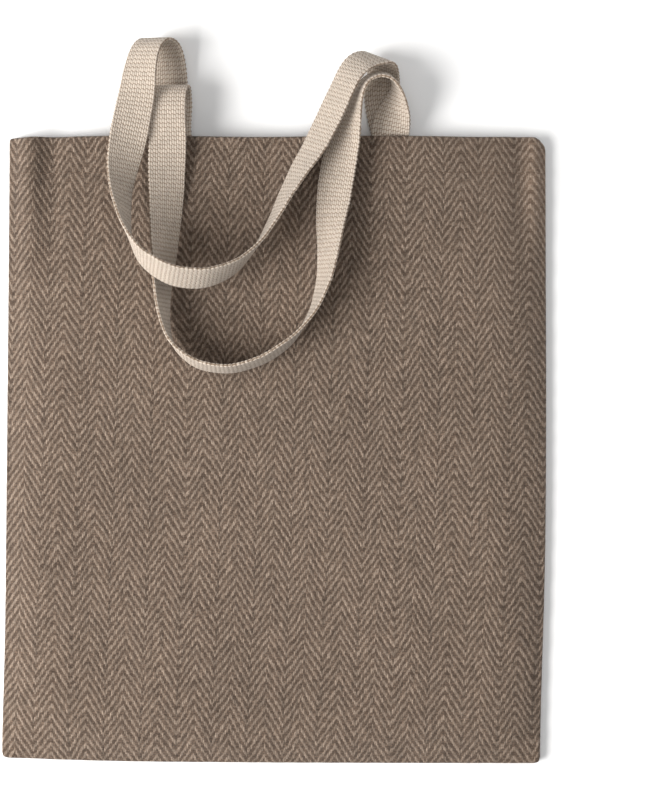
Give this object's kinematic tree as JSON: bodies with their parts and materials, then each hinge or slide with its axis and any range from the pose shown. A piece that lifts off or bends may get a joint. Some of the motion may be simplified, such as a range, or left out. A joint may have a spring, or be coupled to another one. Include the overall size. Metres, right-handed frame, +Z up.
{
  "type": "tote bag",
  "caption": "Flat rectangular bag of herringbone cloth lying on its back, open at the top, with webbing handles flopped over the front.",
  "frame": {"origin": "middle of the bag's underside, on the surface the bag lies on", "axes": "+Y towards the mouth, +Z up out of the front of the bag, +X to the right as seen looking down at the front"},
  "size_m": [0.36, 0.4821, 0.0679],
  "materials": {
    "cloth": "brown-grey herringbone weave, matte",
    "webbing": "natural ecru cotton webbing, matte",
    "thread": "matching brown thread, matte"
  },
  "bodies": {
    "bag": {"front_panel": "cloth", "back_panel": "cloth", "left_side_seam_stitching": "thread", "right_side_seam_stitching": "thread", "bottom_seam_stitching": "thread", "left_side_overlock": "thread", "right_side_overlock": "thread", "bottom_overlock": "thread", "front_hem_stitching": "thread", "back_hem_stitching": "thread", "front_left_box_stitch": "thread", "front_right_box_stitch": "thread", "back_left_box_stitch": "thread", "back_right_box_stitch": "thread", "front_handle_left_end": "webbing", "front_handle_right_end": "webbing", "back_handle_left_end": "webbing", "back_handle_right_end": "webbing"},
    "back_loop": {"back_handle_loop": "webbing"},
    "front_loop": {"front_handle_loop": "webbing"}
  },
  "joints": [
    {"name": "back_handle_swing", "type": "hinge", "parent": "bag", "child": "back_loop", "pos_m": [0, 0.273, 0.02], "axis": [-1, 0, 0], "range_deg": [0, 100]},
    {"name": "front_handle_swing", "type": "hinge", "parent": "bag", "child": "front_loop", "pos_m": [0, 0.239, 0.03], "axis": [-1, 0, 0], "range_deg": [0, 100]}
  ],
  "couplings": [
    {"joint": "front_handle_swing", "follows": "back_handle_swing", "ratio": 1}
  ]
}
